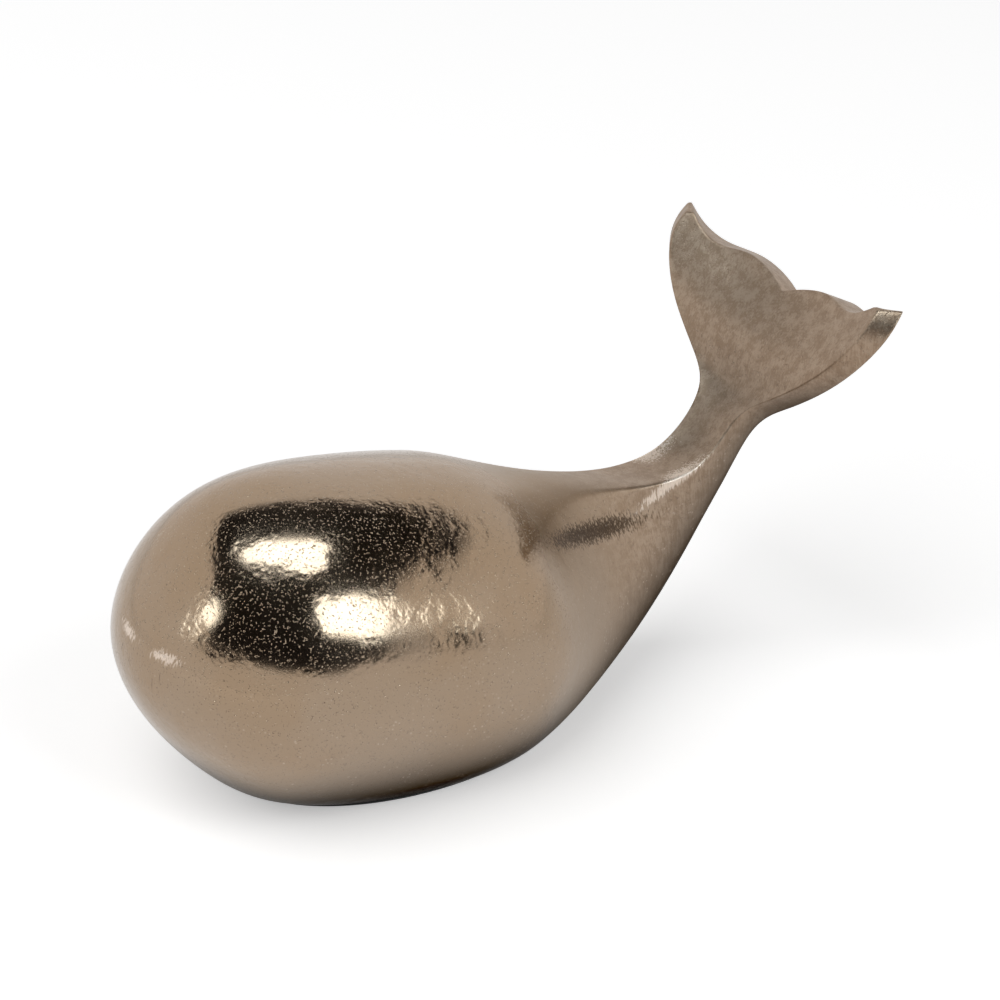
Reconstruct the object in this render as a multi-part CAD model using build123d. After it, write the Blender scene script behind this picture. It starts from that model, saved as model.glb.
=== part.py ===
from build123d import *
import os
from math import cos, radians, sin, sqrt

import numpy as np

# A cast metal whale that stands on a flat belly, in millimetres.
# The nose points to -X, the tail to +X, +Z is up, and the origin is the centre of the resting face.

# Body casting
body_length = 150.0         # nose to the rib where the tail is joined on
egg_height = 95.0           # height of the whole egg, before the belly is cut flat
body_width = 93.0
belly_cut = 11.0            # how much of the egg's height the flat belly takes off
nose_reach = 81.0           # nose to the centre of the base
wall = 4.5
floor_thickness = 6.0       # flat belly, from its face up to the cavity
bulkhead_thickness = 12.0   # solid end of the body, where the tail is bolted on

# Tail casting
tail_length = 67.5          # joint rib to the last rib of the flukes
tail_rise = 65.0
stem_width = 21.4
stem_thickness = 18.5
crease_width = 13.2         # narrow top face where the tail leaves the body
fluke_span = 81.5           # front face of the flukes
fluke_thickness = 9.4       # in their middle
fluke_cup = 7.4             # how far the fluke tips stand forward of their middle
fluke_reach = 23.8          # trailing edge at the tips, above the fan rib
tip_blunt = 1.6             # width of the small facet that ends each fluke
tip_sweep = 5.3             # the facet, from its front corner out to its back corner
tip_lift = 1.8              # and up to it

# Tail joint
spigot_width = 15.0
spigot_height = 20.0
spigot_depth = 5.0
spigot_corner = 4.0
spigot_drop = 5.0           # joint axis below the middle of the joint face
socket_clearance = 0.15
stud_diameter = 8.0
stud_in_tail = 20.0
stud_proud = 3.0            # stud past the nut
stud_chamfer = 0.8
stud_clearance = 0.4        # bulkhead hole and washer bore over the stud
washer_diameter = 16.0
washer_thickness = 1.6
nut_across_flats = 13.0
nut_thickness = 6.5
nut_chamfer = 0.7

# Base
felt_thickness = 1.5
felt_length = 100.0
felt_width = 60.6
plate_length = 86.0
plate_width = 50.0
plate_thickness = 2.0
plate_clearance = 0.2       # rebate round the plate
ledge_width = 8.0           # ring that the plate is screwed to
boss_rise = 5.0             # screw bosses above the floor
screw_diameter = 3.0
screw_head_diameter = 6.0
screw_length = 9.0
screw_clearance = 0.3
screw_tip_room = 1.0        # tapped hole past the end of the screw
hexagon_half_angle = 30.0   # between the middle of a flat and a corner
socket_key = 2.0            # across flats of the hexagon in the screw head
socket_key_depth = 1.0
screw_angle = 35.0          # place of the screws round the oval

# One overrun for every cut, and a block that is larger than the whale
overrun = 20.0
block_size = 2 * (body_length + tail_length)

# Ribs of the body, nose to joint, as shares: along body_length, up egg_height,
# half height of egg_height, half width of body_width. Each leans towards the nose.
body_rib_shares = [
    (0.000, 0.555, 0.000, 0.000),
    (0.073, 0.516, 0.262, 0.343),
    (0.210, 0.543, 0.440, 0.472),
    (0.425, 0.498, 0.498, 0.499),
    (0.650, 0.462, 0.458, 0.491),
    (0.835, 0.482, 0.397, 0.316),
    (1.000, 0.520, 0.284, 0.167),
]
body_rib_leans = [0, 6, 1, 1, 4, 22, 35.5]

# Ribs of the tail, joint to tips, as shares: along tail_length, up tail_rise.
tail_rib_shares = [
    (0.378, 0.150),
    (0.598, 0.383),
    (0.703, 0.511),
    (0.763, 0.693),
    (0.917, 0.864),
    (1.007, 1.003),
]
tail_rib_leans = [53, 59, 61, 63, 59, 58]
fluke_lean = 59.0

# Half width of the front face: two ribs of the body, then the stem, then the opening fan.
crease_start_share = 0.775
stem_crease_shares = [0.401, 0.409]
fan_width_shares = [0.203, 0.380, 0.501, 0.490]
cup_shares = [0.00, 0.09, 0.15, 0.20, 0.265, 0.98, 0.71]

# How much wider the back face is on each side than the front face, and how much thinner the edge is
# than the middle: shares of fluke_thickness, joint to tips.
flare_shares = [0.00, 0.00, 0.16, 0.19, 0.42, 0.54, 0.67]

# Trailing edge of a fluke, notch to tip: shares of the half span and of fluke_reach.
trailing_shares = [(0.0, 0.643), (0.2, 0.786), (0.4, 0.831), (0.6, 0.768), (0.8, 0.839), (1.0, 1.0)]

# Places along the ribs, counted from the nose.
joint_place = len(body_rib_shares) - 1
last_place = joint_place + len(tail_rib_shares)
crease_place = joint_place - 1
ribs_past_fan = 2
fan_place = last_place - ribs_past_fan
widest_place = 3
top_crisp_places = (4.2, 6.7)
under_crisp_places = (6.2, 9.0)
nose_places = [0.05, 0.2, 0.5, 0.75]
loft_step = 0.25
tip_slope_share = 0.1        # fall of the end facet past the tip
nose_rate_share = 1.25       # how fast the nose opens, as a share of the first rib

# A round quarter as a cubic: handle length as a share of the radius, and its corner.
arc_handle_share = 0.5523
corner_share = sqrt(0.5)


def fair_line(values, first_slope=None):
    """Smooth cubic through one value per rib, as a function of the place along the ribs."""
    count = len(values)
    rows = np.zeros((count, count))
    sums = np.zeros(count)
    for i in range(1, count - 1):
        rows[i, i - 1:i + 2] = (1, 4, 1)
        sums[i] = 3 * (values[i + 1] - values[i - 1])
    rows[0, :2] = (2, 1)
    sums[0] = 3 * (values[1] - values[0])
    if first_slope is not None:
        rows[0, :2] = (1, 0)
        sums[0] = first_slope
    rows[-1, -2:] = (1, 2)
    sums[-1] = 3 * (values[-1] - values[-2])
    slopes = np.linalg.solve(rows, sums)

    def at(place):
        i = min(max(int(place), 0), count - 2)
        t = place - i
        rise = values[i + 1] - values[i]
        bend_in = slopes[i] - rise
        bend_out = slopes[i + 1] - rise
        return float(values[i] + t * rise + t * (1 - t) * ((1 - t) * bend_in - t * bend_out))

    return at


def ease(place, start, full):
    """Smooth step from 0 at start to 1 at full."""
    t = min(max((place - start) / (full - start), 0), 1)
    return t * t * (3 - 2 * t)


def mix(round_value, crisp_value, crispness):
    return round_value * (1 - crispness) + crisp_value * crispness


# The rib tables in millimetres
keel_level = felt_thickness - belly_cut
rib_x = [share[0] * body_length - nose_reach for share in body_rib_shares]
rib_x += [rib_x[joint_place] + share[0] * tail_length for share in tail_rib_shares]
rib_z = [keel_level + share[1] * egg_height for share in body_rib_shares]
rib_z += [rib_z[joint_place] + share[1] * tail_rise for share in tail_rib_shares]
rib_lean = body_rib_leans + tail_rib_leans
half_heights = [share[2] * egg_height for share in body_rib_shares] + [stem_thickness / 2]
half_heights += [fluke_thickness / 2] * (last_place - joint_place - 1)
fan_half_widths = [share * fluke_span for share in fan_width_shares]
half_widths = [share[3] * body_width for share in body_rib_shares]
half_widths += [stem_width / 2, stem_width / 2] + fan_half_widths
crease_half_widths = [crease_start_share * crease_width, crease_width / 2]
crease_half_widths += [share * stem_width for share in stem_crease_shares] + fan_half_widths

line_x = fair_line(rib_x, 0)
line_z = fair_line(rib_z, 0)
line_lean = fair_line(rib_lean)
line_half_height = fair_line(half_heights, nose_rate_share * half_heights[1])
line_half_width = fair_line(half_widths, nose_rate_share * half_widths[1])
line_crease = fair_line(crease_half_widths)
line_cup = fair_line([share * fluke_cup for share in cup_shares])
line_flare = fair_line([share * fluke_thickness for share in flare_shares])


class Rib:
    """One cross-section, square to the spine: round on the body, crisp-edged on the tail."""

    def __init__(self, place, inset=0):
        self.x = line_x(place)
        self.z = line_z(place)
        self.lean = radians(line_lean(place))
        self.half_height = line_half_height(place)
        self.half_width = line_half_width(place)
        self.crease = line_crease(max(place - crease_place, 0))
        self.cup = line_cup(max(place - joint_place, 0))
        self.flare = line_flare(max(place - joint_place, 0))
        self.top_crisp = ease(place, *top_crisp_places)
        self.under_crisp = ease(place, *under_crisp_places)
        if inset:
            self.shrink(place, inset)

    def shrink(self, place, inset):
        """Plain oval rib of the cavity, one wall inside this one all the way round the nose."""
        fullness = 1
        if place < widest_place:
            fullness = min(self.half_height / line_half_height(widest_place), 1)
        self.x += inset * sqrt(1 - fullness ** 2)
        self.half_height -= inset * fullness
        self.half_width -= inset * fullness
        self.top_crisp = 0

    def at(self, across, up):
        """Point in space for a point of the rib's own plane."""
        return Vector(self.x - up * sin(self.lean), across, self.z + up * cos(self.lean))

    def corner(self, side, crispness):
        """Corner, middle handle and side handle; side is 1 on the front face, -1 underneath."""
        h, w = self.half_height, self.half_width
        flare = self.flare if side < 0 else 0
        edge = self.crease + flare
        across = mix(corner_share * w, edge, crispness)
        up = mix(side * corner_share * h, side * h + self.cup + flare, crispness)
        handle_w = mix(arc_handle_share * corner_share * w, 2 * edge / 3, crispness)
        middle = (across - handle_w, (4 * side * h - up) / 3)
        wall_out = side * self.flare / 3
        wall_down = (2 * h - self.flare) / 3
        flank = (across + mix(arc_handle_share * corner_share * w, wall_out, crispness),
                 up - side * mix(arc_handle_share * corner_share * h, wall_down, crispness))
        return (across, up), middle, flank

    def outline(self):
        top, top_middle, top_flank = self.corner(1, self.top_crisp)
        under, under_middle, under_flank = self.corner(-1, self.under_crisp)
        right = [top, top_flank, under_flank, under]
        face = [mirrored(top), mirrored(top_middle), top_middle, top]
        belly = [under, under_middle, mirrored(under_middle), mirrored(under)]
        left = [mirrored(point) for point in reversed(right)]
        edges = [Bezier(*[self.at(*point) for point in side]) for side in (face, right, belly, left)]
        return Wire(edges)


def mirrored(point):
    return (-point[0], point[1])


def close_places(first, last):
    """Places from first to last, loft_step apart."""
    return [first + i * loft_step for i in range(round((last - first) / loft_step) + 1)]


def loft_ribs(places, inset=0):
    return Solid.make_loft([Rib(place, inset).outline() for place in places])


joint_rib = Rib(joint_place)
joint_plane = Plane(
    joint_rib.at(0, -spigot_drop),
    x_dir=(0, 1, 0),
    z_dir=(cos(joint_rib.lean), 0, sin(joint_rib.lean)),
)
tail_side = joint_plane * Pos(0, 0, block_size / 2) * Box(block_size, block_size, block_size)
bulkhead_plane = joint_plane.offset(-bulkhead_thickness)
beyond_bulkhead = bulkhead_plane * Pos(0, 0, block_size / 2) * Box(block_size, block_size, block_size)


def layer_below(level):
    return Pos(0, 0, level - block_size / 2) * Box(block_size, block_size, block_size)


def post(diameter, bottom, top):
    """Upright cylinder between two heights."""
    return Pos(0, 0, bottom) * extrude(Circle(diameter / 2), amount=top - bottom)


def oval(length, width, bottom, top):
    """Upright oval disc between two heights."""
    return Pos(0, 0, bottom) * extrude(Ellipse(length / 2, width / 2), amount=top - bottom)


belly_level = felt_thickness
floor_level = belly_level + floor_thickness
plate_top = belly_level + plate_thickness
opening_length = plate_length - 2 * ledge_width
opening_width = plate_width - 2 * ledge_width


def screw_places():
    """Four points on the middle of the ledge."""
    for turn in (screw_angle, 180 - screw_angle, 180 + screw_angle, -screw_angle):
        along = (plate_length - ledge_width) / 2 * cos(radians(turn))
        across = (plate_width - ledge_width) / 2 * sin(radians(turn))
        yield Pos(along, across, 0)


def cavity():
    room = loft_ribs(nose_places + close_places(1, joint_place), wall)
    return room - layer_below(floor_level) - beyond_bulkhead


def body_casting():
    skin = loft_ribs(nose_places + close_places(1, joint_place + loft_step))
    body = skin - layer_below(belly_level) - tail_side - cavity()
    boss_diameter = ledge_width
    boss_top = floor_level + boss_rise
    hole_top = belly_level + screw_length + screw_tip_room
    for place in screw_places():
        body += place * post(boss_diameter, plate_top, boss_top)
    body -= oval(opening_length, opening_width, belly_level - overrun, boss_top + overrun)
    rebate_length = plate_length + 2 * plate_clearance
    rebate_width = plate_width + 2 * plate_clearance
    body -= oval(rebate_length, rebate_width, belly_level - overrun, plate_top)
    for place in screw_places():
        body -= place * post(screw_diameter, plate_top, hole_top)
    body -= joint_plane * spigot(socket_clearance)
    bore = stud_diameter + stud_clearance
    body -= joint_plane * post(bore, -bulkhead_thickness - overrun, overrun)
    return body


def spigot(clearance=0):
    """Key of the tail that sets into the body, in the joint's own frame."""
    outline = RectangleRounded(
        spigot_width + 2 * clearance,
        spigot_height + 2 * clearance,
        spigot_corner + clearance,
    )
    return extrude(outline, amount=-(spigot_depth + clearance))


def trailing_outline(steps):
    """Cut of the trailing edges, so many edge thicknesses behind the front of the tips."""
    half_span = fluke_span / 2
    tip_across = half_span - tip_blunt

    def swept(across, along):
        nearness = min(across / tip_across, 1) ** 2
        return across + tip_sweep * steps * nearness, along + tip_lift * steps * nearness

    inner = [swept(across * half_span, along * fluke_reach) for across, along in trailing_shares[:-1]]
    tip = swept(tip_across, fluke_reach)
    far = swept(half_span + overrun, fluke_reach - tip_slope_share * (tip_blunt + overrun))
    top = (far[0], fluke_reach + 2 * overrun)
    right = [Spline(*inner, tip), Line(tip, far), Line(far, top)]
    left = [mirror(piece, Plane.YZ) for piece in right]
    return make_face(right + left + [Line(top, (-top[0], top[1]))])


def beyond_trailing_edge():
    """Block past the trailing edges, which cuts the notch and the two tips."""
    lean = radians(fluke_lean)
    fan_rib, tip_rib = Rib(fan_place), Rib(last_place)
    backwards = Vector(sin(lean), 0, -cos(lean))
    front = tip_rib.at(0, tip_rib.half_height + tip_rib.cup)
    forward_level = (front - fan_rib.at(0, 0)).dot(backwards)
    edge_thickness = 2 * tip_rib.half_height - tip_rib.flare
    sections = []
    for depth in (-fluke_cup, overrun):
        origin = fan_rib.at(0, 0) + backwards * (forward_level + depth)
        plan = Plane(origin, x_dir=(0, 1, 0), z_dir=backwards)
        sections.append(plan * trailing_outline(depth / edge_thickness))
    return loft(sections, ruled=True)


def tail_casting():
    skin = loft_ribs(close_places(joint_place - loft_step, last_place))
    tail = (skin & tail_side) - beyond_trailing_edge()
    tail += joint_plane * spigot()
    tail -= joint_plane * post(stud_diameter, -spigot_depth - overrun, stud_in_tail)
    return tail


washer_level = -bulkhead_thickness - washer_thickness
nut_level = washer_level - nut_thickness


def tail_stud():
    rod = post(stud_diameter, nut_level - stud_proud, stud_in_tail)
    return joint_plane * chamfer(rod.edges(), stud_chamfer)


def tail_washer():
    ring = post(washer_diameter, washer_level, -bulkhead_thickness)
    return joint_plane * (ring - post(stud_diameter + stud_clearance, washer_level, 0))


def tail_nut():
    """Hexagon nut, its corners turned off by a cone at both ends."""
    across_corners = nut_across_flats / cos(radians(hexagon_half_angle))
    hexagon = extrude(RegularPolygon(across_corners / 2, 6), amount=nut_thickness)
    turned = chamfer(extrude(Circle(across_corners / 2), amount=nut_thickness).edges(), nut_chamfer)
    nut = Pos(0, 0, nut_level) * (hexagon & turned)
    return joint_plane * (nut - post(stud_diameter, nut_level, washer_level))


def screw_head(grow=0):
    """Countersunk head, its flat face on the underside of the plate."""
    height = (screw_head_diameter - screw_diameter) / 2
    cone = Cone(screw_head_diameter / 2 + grow, screw_diameter / 2 + grow, height)
    return Pos(0, 0, belly_level + height / 2) * cone


def base_screws():
    key_corners = socket_key / cos(radians(hexagon_half_angle))
    key = Pos(0, 0, belly_level) * extrude(RegularPolygon(key_corners / 2, 6), amount=socket_key_depth)
    shank = post(screw_diameter, belly_level, belly_level + screw_length)
    screw = screw_head() + shank - key
    return Compound([place * screw for place in screw_places()])


def base_plate():
    plate = oval(plate_length, plate_width, belly_level, plate_top)
    hole = screw_diameter + screw_clearance
    for place in screw_places():
        plate -= place * post(hole, belly_level, plate_top)
        plate -= place * screw_head(screw_clearance / 2)
    return plate


def felt_pad():
    return oval(felt_length, felt_width, 0, felt_thickness)


nodes = {
    "body_casting": body_casting,
    "tail_casting": tail_casting,
    "tail_stud": tail_stud,
    "tail_washer": tail_washer,
    "tail_nut": tail_nut,
    "base_plate": base_plate,
    "base_screws": base_screws,
    "felt_pad": felt_pad,
}

os.makedirs("parts", exist_ok=True)
for name, make in nodes.items():
    export_step(make(), f"parts/{name}.step")
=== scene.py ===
from math import cos, pi, radians, sin, sqrt, tau

import bmesh
import bpy
import numpy as np
from mathutils import Matrix, Vector, kdtree


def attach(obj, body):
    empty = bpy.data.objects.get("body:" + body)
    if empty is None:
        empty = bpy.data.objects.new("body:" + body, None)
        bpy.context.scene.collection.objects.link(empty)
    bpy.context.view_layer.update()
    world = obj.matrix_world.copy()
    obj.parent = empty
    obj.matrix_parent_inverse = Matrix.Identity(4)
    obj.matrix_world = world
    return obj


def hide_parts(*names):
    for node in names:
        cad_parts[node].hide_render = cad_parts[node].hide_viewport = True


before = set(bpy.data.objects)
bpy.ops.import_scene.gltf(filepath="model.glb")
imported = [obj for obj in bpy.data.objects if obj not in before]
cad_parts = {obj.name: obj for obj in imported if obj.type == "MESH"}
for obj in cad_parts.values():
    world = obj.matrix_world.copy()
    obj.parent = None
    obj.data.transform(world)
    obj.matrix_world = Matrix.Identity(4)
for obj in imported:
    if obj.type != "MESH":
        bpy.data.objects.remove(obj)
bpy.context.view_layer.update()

# A cast metal whale: smooth skins for the two castings, a felt pad under the belly, metal finishes,
# and the white studio of the photograph. Sizes below are in millimetres and made metres by mm.
mm = 0.001

# Body casting
body_length = 150.0
egg_height = 95.0
body_width = 93.0
belly_cut = 11.0
nose_reach = 81.0
wall = 4.5
floor_thickness = 6.0
bulkhead_thickness = 12.0

# Tail casting
tail_length = 67.5
tail_rise = 65.0
stem_width = 21.4
stem_thickness = 18.5
crease_width = 13.2
fluke_span = 81.5
fluke_thickness = 9.4
fluke_cup = 7.4
fluke_reach = 23.8
tip_blunt = 1.6
tip_sweep = 5.3
tip_lift = 1.8

# Inside: the tail joint and the base
spigot_width = 15.0
spigot_height = 20.0
spigot_depth = 5.0
spigot_corner = 4.0
spigot_drop = 5.0
spigot_root = 5.0
socket_clearance = 0.15
stud_diameter = 8.0
stud_in_tail = 20.0
stud_clearance = 0.4
felt_thickness = 1.5
felt_length = 100.0
felt_width = 60.6
plate_length = 86.0
plate_width = 50.0
plate_thickness = 2.0
plate_clearance = 0.2
ledge_width = 8.0
boss_rise = 5.0
boss_sink = 1.0
screw_diameter = 3.0
screw_length = 9.0
screw_tip_room = 1.0
screw_angle = 35.0
overrun = 20.0

# Ribs of the body, nose to joint, as shares: along body_length, up egg_height,
# half height of egg_height, half width of body_width.
body_rib_shares = [
    (0.000, 0.555, 0.000, 0.000),
    (0.073, 0.516, 0.262, 0.343),
    (0.210, 0.543, 0.440, 0.472),
    (0.425, 0.498, 0.498, 0.499),
    (0.650, 0.462, 0.458, 0.491),
    (0.835, 0.482, 0.397, 0.316),
    (1.000, 0.520, 0.284, 0.167),
]
body_rib_leans = [0, 6, 1, 1, 4, 22, 35.5]

# Ribs of the tail, joint to tips, as shares: along tail_length, up tail_rise.
tail_rib_shares = [
    (0.378, 0.150),
    (0.598, 0.383),
    (0.703, 0.511),
    (0.763, 0.693),
    (0.917, 0.864),
    (1.007, 1.003),
]
tail_rib_leans = [53, 59, 61, 63, 59, 58]
fluke_lean = 59.0

# Half width of the front face: two ribs of the body, then the stem, then the opening fan.
crease_start_share = 0.775
stem_crease_shares = [0.401, 0.409]
fan_width_shares = [0.203, 0.380, 0.501, 0.490]
cup_shares = [0.00, 0.09, 0.15, 0.20, 0.265, 0.98, 0.71]

# How much wider the back face is on each side than the front face, and how much thinner the edge is
# than the middle: shares of fluke_thickness, joint to tips.
flare_shares = [0.00, 0.00, 0.16, 0.19, 0.42, 0.54, 0.67]

# Trailing edge of a fluke, notch to tip: shares of the half span and of fluke_reach.
trailing_shares = [(0.0, 0.643), (0.2, 0.786), (0.4, 0.831), (0.6, 0.768), (0.8, 0.839), (1.0, 1.0)]
tip_slope_share = 0.1

# Places along the ribs, counted from the nose.
joint_place = 6
last_place = 12
crease_place = 5
fan_place = 10
flare_place = 9
widest_place = 3
top_crisp_places = (4.2, 6.7)
under_crisp_places = (6.2, 9.0)
eased_places = (4.0, 7.2)
ease_fade = 1.2
ease_rounds = 300
ease_round_share = 0.2
nose_rate_share = 1.25
arc_handle_share = 0.5523
corner_share = sqrt(0.5)
nose_crowding = 1.15
past_tips = 0.5

# Edges of the tail and flukes, rubbed round
face_edge_round = 0.7
under_edge_round = 1.0
rim_round = 0.6

# Cells of the skin, the cavity and the round tools
face_cells = 44
side_cells = 64
round_cells = 4
half_columns = 2 * face_cells + side_cells + 2 * round_cells + 1
body_rows = 170
stem_rows = 70
fluke_rows = 64
cavity_rows = 60
cavity_start_share = 0.05
oval_cells = 96
felt_cells = 160
hole_cells = 32
screw_cells = 24
corner_cells = 6

# Fineness of the sums, with the last two in metres
curve_points = 400
halvings = 40
rate_step = 0.01
least_reach = 5.0
tiny = 1e-9
cut_tolerance = 1e-7
same_place = 1e-6


def fair_line(values, first_slope=None):
    """Smooth cubic through one value per rib; the result takes an array of places."""
    values = np.array(values, float)
    count = len(values)
    rows = np.zeros((count, count))
    sums = np.zeros(count)
    for i in range(1, count - 1):
        rows[i, i - 1:i + 2] = (1, 4, 1)
        sums[i] = 3 * (values[i + 1] - values[i - 1])
    rows[0, :2] = (2, 1)
    sums[0] = 3 * (values[1] - values[0])
    if first_slope is not None:
        rows[0, :2] = (1, 0)
        sums[0] = first_slope
    rows[-1, -2:] = (1, 2)
    sums[-1] = 3 * (values[-1] - values[-2])
    slopes = np.linalg.solve(rows, sums)

    def at(place):
        i = np.clip(np.floor(place).astype(int), 0, count - 2)
        t = place - i
        rise = values[i + 1] - values[i]
        bend_in = slopes[i] - rise
        bend_out = slopes[i + 1] - rise
        return values[i] + t * rise + t * (1 - t) * ((1 - t) * bend_in - t * bend_out)

    return at


def ease(place, start, full):
    t = np.clip((place - start) / (full - start), 0, 1)
    return t * t * (3 - 2 * t)


def mix(round_value, crisp_value, crispness):
    return round_value * (1 - crispness) + crisp_value * crispness


keel_level = felt_thickness - belly_cut
rib_x = [share[0] * body_length - nose_reach for share in body_rib_shares]
rib_x += [rib_x[joint_place] + share[0] * tail_length for share in tail_rib_shares]
rib_z = [keel_level + share[1] * egg_height for share in body_rib_shares]
rib_z += [rib_z[joint_place] + share[1] * tail_rise for share in tail_rib_shares]
half_heights = [share[2] * egg_height for share in body_rib_shares] + [stem_thickness / 2]
half_heights += [fluke_thickness / 2] * (last_place - joint_place - 1)
fan_half_widths = [share * fluke_span for share in fan_width_shares]
half_widths = [share[3] * body_width for share in body_rib_shares]
half_widths += [stem_width / 2, stem_width / 2] + fan_half_widths
crease_half_widths = [crease_start_share * crease_width, crease_width / 2]
crease_half_widths += [share * stem_width for share in stem_crease_shares] + fan_half_widths

line_x = fair_line(rib_x, 0)
line_z = fair_line(rib_z, 0)
line_lean = fair_line(body_rib_leans + tail_rib_leans)
line_half_height = fair_line(half_heights, nose_rate_share * half_heights[1])
line_half_width = fair_line(half_widths, nose_rate_share * half_widths[1])
line_crease = fair_line(crease_half_widths)
line_cup = fair_line([share * fluke_cup for share in cup_shares])
line_flare = fair_line([share * fluke_thickness for share in flare_shares])


def cubic(start, leave, arrive, end, t):
    s = 1 - t
    return s ** 3 * start + 3 * s * s * t * leave + 3 * s * t * t * arrive + t ** 3 * end


def mirrored(point):
    """The same point on the left half."""
    return point * np.array([-1, 1]).reshape(2, 1, 1)


class Ribs:
    """Cross-sections at an array of places: rows run along the whale, columns round it."""

    def __init__(self, place, inset=0):
        self.x = line_x(place)
        self.z = line_z(place)
        self.lean = np.radians(line_lean(place))
        self.half_height = line_half_height(place)
        self.half_width = line_half_width(place)
        self.crease = line_crease(np.maximum(place - crease_place, 0))
        self.cup = line_cup(np.maximum(place - joint_place, 0))
        self.flare = line_flare(np.maximum(place - joint_place, 0))
        self.top_crisp = ease(place, *top_crisp_places)
        self.under_crisp = ease(place, *under_crisp_places)
        if inset:
            fullness = np.minimum(self.half_height / line_half_height(np.array(widest_place)), 1)
            fullness = np.where(place < widest_place, fullness, 1)
            self.x = self.x + inset * np.sqrt(1 - fullness ** 2)
            self.half_height = self.half_height - inset * fullness
            self.half_width = self.half_width - inset * fullness
            self.top_crisp = 0 * place

    def corner(self, side, crispness):
        """Corner of a face and the flank, and the nearest handle of the curves on either side."""
        h, w = self.half_height, self.half_width
        flare = self.flare if side < 0 else 0
        edge = self.crease + flare
        across = mix(corner_share * w, edge, crispness)
        up = mix(side * corner_share * h, side * h + self.cup + flare, crispness)
        handle_w = mix(arc_handle_share * corner_share * w, 2 * edge / 3, crispness)
        handle_h = mix(arc_handle_share * corner_share * h, (2 * h - self.flare) / 3, crispness)
        flank_w = mix(arc_handle_share * corner_share * w, side * self.flare / 3, crispness)
        corner = np.array([across, up])
        middle = np.array([across - handle_w, (4 * side * h - up) / 3])
        flank = np.array([across + flank_w, up - side * handle_h])
        return corner, middle, flank


def half_outline(place, inset=0):
    """Right half of each section, from the middle of the front face to the middle of the belly."""
    place = np.broadcast_to(place, (place.shape[0], half_columns))
    points = np.zeros((2,) + place.shape)
    spans = [face_cells + 1, round_cells - 1, side_cells + 1, round_cells - 1, face_cells + 1]
    ends = np.cumsum([0] + spans)

    def block(index):
        part = slice(ends[index], ends[index + 1])
        ribs = Ribs(place[:, part], inset)
        top, top_middle, top_flank = ribs.corner(1, ribs.top_crisp)
        under, under_middle, under_flank = ribs.corner(-1, ribs.under_crisp)
        face = (mirrored(top), mirrored(top_middle), top_middle, top)
        flank = (top, top_flank, under_flank, under)
        belly = (under, under_middle, mirrored(under_middle), mirrored(under))

        def stop(edge_round, near, far):
            reach = 3 * np.hypot(*(near - far))
            return edge_round / np.maximum(reach, least_reach * edge_round)

        face_stop = 1 - stop(face_edge_round, top, top_middle)
        flank_start = stop(face_edge_round, top, top_flank)
        flank_stop = 1 - stop(under_edge_round, under, under_flank)
        belly_start = stop(under_edge_round, under, under_middle)
        share = np.linspace(0, 1, spans[index])[None, :]
        if index == 0:
            points[:, :, part] = cubic(*face, 0.5 + (face_stop - 0.5) * share)
        if index == 2:
            points[:, :, part] = cubic(*flank, flank_start + (flank_stop - flank_start) * share)
        if index == 4:
            points[:, :, part] = cubic(*belly, belly_start + (0.5 - belly_start) * share)
        share = np.linspace(0, 1, spans[index] + 2)[1:-1][None, :]
        if index == 1:
            start, end = cubic(*face, face_stop), cubic(*flank, flank_start)
            points[:, :, part] = round_corner(start, top, end, share)
        if index == 3:
            start, end = cubic(*flank, flank_stop), cubic(*belly, belly_start)
            points[:, :, part] = round_corner(start, under, end, share)

    for index in range(len(spans)):
        block(index)
    ribs = Ribs(place, inset)
    across, up = points
    x = ribs.x - up * np.sin(ribs.lean)
    z = ribs.z + up * np.cos(ribs.lean)
    return np.stack([x, across, z], axis=-1)


def round_corner(start, corner, end, share):
    """Small round between two points that face each other across a corner."""
    return (1 - share) ** 2 * start + 2 * share * (1 - share) * corner + share ** 2 * end


def whole_ring(half):
    """Right half and its mirror image: rows of closed rings."""
    left = half[:, -2:0:-1] * np.array([1, -1, 1])
    return np.concatenate([half, left], axis=1)


def trailing_line(across, steps):
    """Height of the trailing edge above the fan rib, for distances from the middle."""
    half_span = fluke_span / 2
    tip_across = half_span - tip_blunt
    knots = [(share[0] * half_span, share[1] * fluke_reach) for share in trailing_shares]
    knots[-1] = (tip_across, fluke_reach)
    knots = np.array(knots)
    gaps = np.hypot(*np.diff(knots, axis=0).T)
    along = np.concatenate([[0], np.cumsum(gaps)])
    fine = np.linspace(0, along[-1], curve_points)
    curve = [natural_spline(along, knots[:, i], fine) for i in range(2)]
    sweep = tip_sweep * steps
    bend = sweep / tip_across ** 2
    bend = np.where(np.abs(bend) < tiny, tiny, bend)
    inner = (np.sqrt(np.maximum(1 + 4 * bend * across, 0)) - 1) / (2 * bend)
    past_tip = across > tip_across + sweep
    unswept = np.where(past_tip, across - sweep, inner)
    edge = np.interp(unswept, curve[0], curve[1])
    facet = fluke_reach - tip_slope_share * (unswept - tip_across)
    nearness = np.minimum(unswept / tip_across, 1) ** 2
    return np.where(past_tip, facet, edge) + tip_lift * steps * nearness


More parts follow.
